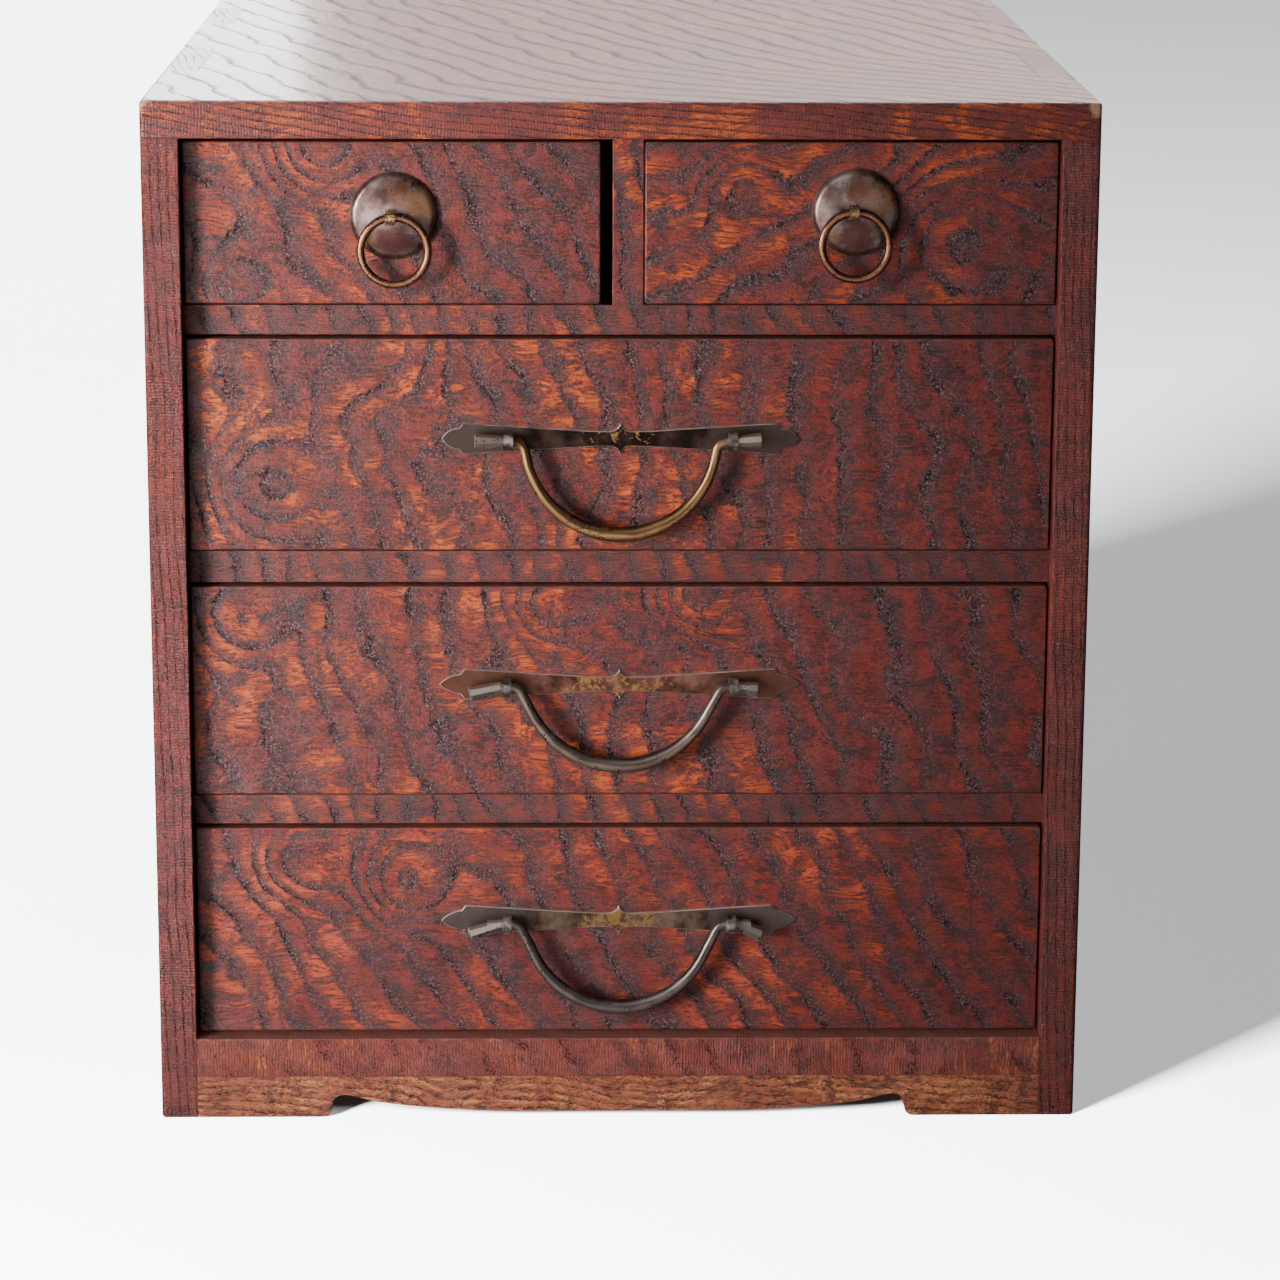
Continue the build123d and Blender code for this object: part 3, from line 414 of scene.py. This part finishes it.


# Handles and pulls: forged and sheet copper alloy with a brown-black patina that is rubbed thin on
# the ridges and where fingers reach, so greys, browns and brass show side by side. Bands along the bars,
# pale plate edges and some dome patches are painted shade, highlight and reflection as well.
def patina(name, tones, tone_size, spots=(), softness=0.03, wear_and_light_bands=(), centre=(0, 0, 0), edge_wear_and_highlight="",
           ends="", ends_from=38, rough=0.36, seed=0.0):
    """A worn metal finish. Tones are three colours in clouds, each spot is x, y, z, radius, cover and
    colour, rubbed metal that on the domes is partly painted reflection and highlight,
    wear_and_light_bands are stops and colours from the inner (0) to the outer side (1) of a bar bent
    round a centre, rubbed metal with painted shade and highlight along the bar, and beyond a distance
    from the middle the ends have a colour of their own."""
    speck_size, streak_size, scuff_size = 2.5, 12, 3.6
    dent_size, dent_depth = 6, 0.0002
    made = bpy.data.materials.new(name)
    made.use_nodes = True
    tree = made.node_tree
    tree.nodes.clear()
    coords = add(tree, "TexCoord")
    normal = coords.outputs["Normal"]
    spot = add(tree, "VectorMath", {0: coords.outputs["Object"], 1: to_millimetres}, operation="MULTIPLY")
    mm = add(tree, "VectorMath", {0: spot, 1: (seed, seed, seed)}, operation="ADD")
    cloud = add(tree, "TexNoise", {"Vector": mm, "Scale": 1 / tone_size,
                                   "Detail": 1.0 if wear_and_light_bands else 5.0, "Roughness": 0.6})
    colour = add(tree, "ValToRGB", {"Fac": cloud}, stops=(
        (0.38, tones[0]), (0.5, tones[1]), (0.62, tones[2])))
    # colour bands along a bar by the way its surface faces: rubbed metal, with painted shade and painted
    # highlights
    if wear_and_light_bands:
        outer = add(tree, "VectorMath", {0: spot, 1: centre}, operation="SUBTRACT")
        outer = add(tree, "VectorMath", {0: outer}, operation="NORMALIZE")
        outer = add(tree, "VectorMath", {0: outer, 1: normal}, operation="DOT_PRODUCT")
        outer = add(tree, "Math", {0: outer, 1: 0.5, 2: 0.35}, operation="MULTIPLY_ADD")
        streak = add(tree, "TexNoise", {"Vector": mm, "Scale": 1 / streak_size, "Detail": 1.0})
        streak = add(tree, "Math", {0: streak, 1: 0.3, 2: outer}, operation="MULTIPLY_ADD")
        bands = add(tree, "ValToRGB", {"Fac": streak}, stops=wear_and_light_bands)
        colour = add(tree, "Mix", {0: 0.85, 6: colour, 7: bands}, data_type="RGBA")
    if ends:
        outward = add(tree, "VectorMath", {0: spot, 1: (1, 0, 0)}, operation="DOT_PRODUCT")
        outward = add(tree, "Math", {0: outward}, operation="ABSOLUTE")
        outward = add(tree, "Math", {0: cloud, 1: 16.0, 2: outward}, operation="MULTIPLY_ADD")
        outward = add(tree, "MapRange", {0: outward, 1: ends_from + 6.0, 2: ends_from + 14.0,
                                         3: 0.0, 4: 0.8})
        colour = add(tree, "Mix", {0: outward, 6: colour, 7: ends}, data_type="RGBA")
    for x, y, z, radius, cover, rubbed in spots:
        reach = add(tree, "VectorMath", {0: spot, 1: (x, y, z)}, operation="DISTANCE")
        near = add(tree, "MapRange", {0: reach, 1: radius * 0.3, 2: radius, 3: cover, 4: -0.35})
        scuff = add(tree, "TexNoise", {"Vector": mm, "Scale": 1 / scuff_size, "Detail": 5.0,
                                       "Roughness": 0.72, "Distortion": 1.2})
        near = add(tree, "Math", {0: near, 1: scuff}, operation="ADD")
        near = add(tree, "MapRange", {0: near, 1: 0.59 - softness, 2: 0.59 + softness, 3: 0.0, 4: 0.85})
        colour = add(tree, "Mix", {0: near, 6: colour, 7: rubbed}, data_type="RGBA")
    # faces that do not look forward, the plate's edges, are painted pale: rubbed metal, and a painted
    # highlight on the lit edge
    if edge_wear_and_highlight:
        front = add(tree, "VectorMath", {0: normal, 1: (0, -1, 0)}, operation="DOT_PRODUCT")
        rim = add(tree, "MapRange", {0: front, 1: 0.9, 2: 0.97, 3: 1.0, 4: 0.0})
        colour = add(tree, "Mix", {0: rim, 6: colour, 7: edge_wear_and_highlight}, data_type="RGBA")
    speck = add(tree, "TexNoise", {"Vector": mm, "Scale": 1 / speck_size, "Detail": 2.0})
    gloss = add(tree, "MapRange", {0: speck, 1: 0.3, 2: 0.7, 3: rough - 0.04, 4: rough + 0.06})
    surface = {"Base Color": colour, "Metallic": 0.85, "Roughness": gloss}
    if not wear_and_light_bands:
        dents = add(tree, "TexNoise", {"Vector": mm, "Scale": 1 / dent_size, "Detail": 1.0})
        surface["Normal"] = add(tree, "Bump", {"Height": dents, "Strength": 0.05,
                                               "Distance": dent_depth})
    metal = add(tree, "BsdfPrincipled", surface)
    add(tree, "OutputMaterial", {"Surface": metal})
    return made


# Bails and eyes: forged bronze rods that turn in eyes of bent strap, whose legs are clenched inside
# the front. The upper bail is brassy brown and the two below are grey, all banded along their length:
# rubbed metal, with painted shade on the inner side and a painted reflection of the floor along the outer
# side.
bail_heights = {"lower": 79.7, "middle": 176.3, "upper": 274.0}
bail_front = -226.5
bail_tones = {
    "lower": (("3E3533", "685D5A", "948884"), "8C7A70"),
    "middle": (("423733", "70625C", "A0928A"), "9C8068"),
    "upper": (("4A3424", "84603E", "B08456"), "C89868")}
for row, (tones, brass) in bail_tones.items():
    finish = patina(f"{row}_bail_rubbed_bronze", tones, 12, centre=(0, bail_front, bail_heights[row]),
                    wear_and_light_bands=((0.0, "2A1F1C"), (0.3, tones[1]), (0.45, tones[0]), (0.6, brass),
                            (0.78, tones[2]), (0.95, tones[0])), ends="9A8F84", ends_from=40, rough=0.3)
    dress(f"{row}_handle_bail", finish)
    dress(f"{row}_handle_eyes", patina(f"{row}_eye_bronze", ("4A3F3B", "7C706A", "B4A9A2"), 4,
                                       rough=0.34, seed=4))

# Handle plates: thin dark sheet bronze, waisted, with a cusp in the middle and a leaf at each end, held
# by the legs of the eyes. Each is painted pale along its edge, as rubbed metal and as a painted highlight
# on the lit edge, and scuffed to the brass in its middle.
plate_face = -220.5
plate_tones = {
    "lower": (("3E302A", "66503F", "80685A"), "A87E4C", "5E5250", 34, 0.12),
    "middle": (("44261C", "70463A", "8E6654"), "B4824E", "6A4638", 50, 0.06),
    "upper": (("1A100E", "2C1B17", "46322B"), "CFA060", "564842", 40, -0.02)}
for row, (tones, brass, ends, radius, cover) in plate_tones.items():
    scuffed = (0, plate_face, bail_heights[row], radius, cover, brass)
    dress(f"{row}_handle_plate", patina(f"{row}_plate_sheet_bronze", tones, 9, spots=(scuffed,),
                                        edge_wear_and_highlight="D6C6BC", ends=ends, ends_from=34, rough=0.38, seed=40))

# Ring pulls: coppery wire rings that hang in small brass eyes, each eye passed through a hollow dome
# of thin sheet bronze. The domes have a mauve-grey bloom with brown, copper and brassy patches; the dark
# reddish patch low on each is a painted reflection of the red front, and the brassy one on the right is
# partly a painted highlight.
pull_places = {"left": (-86.85, 360.4), "right": (89.6, 361.9)}
ring_lean, ring_drop, ring_front = 0.5, 12.5, -230
dome_face, dome_side = -225, -223
# the ring darkens on both flanks and pales in its middle: painted shade and highlight over rubbed copper
ring_wear_and_light_bands = ((0.0, "301A14"), (0.3, "84543C"), (0.5, "A4745A"), (0.7, "7C4C34"), (0.95, "442820"))
eye_brass = patina("rubbed_eye_brass", ("8A6248", "B88C66", "E0C4A0"), 3, rough=0.22, seed=3)
for side, (x, z) in pull_places.items():
    dress(f"{side}_pull_ring", patina(f"{side}_ring_rubbed_copper", ("5E3A28", "8A5A40", "B08060"), 10,
                                      centre=(x + ring_lean, ring_front, z - ring_drop),
                                      wear_and_light_bands=ring_wear_and_light_bands, rough=0.28, seed=9))
    dress(f"{side}_pull_eye", eye_brass)
    # the dark reddish patch on the lower half is a painted reflection of the red front below; the brassy
    # patch on the right side is brass and partly a painted highlight
    patches = ((x, dome_face, z - 9, 13, 0.3, "5C3430"), (x + 2, dome_face, z + 9, 11, 0.12, "90502E"),
               (x + 10, dome_side, z + 5, 13, 0.14, "A87646"),
               (x - 10, dome_side, z - 9, 8, 0.1, "94693F"))
    dress(f"{side}_pull_plate", patina(f"{side}_dome_sheet_bronze", ("543E3C", "78605C", "98837E"), 9,
                                       spots=patches, softness=0.14, rough=0.3, seed=x))
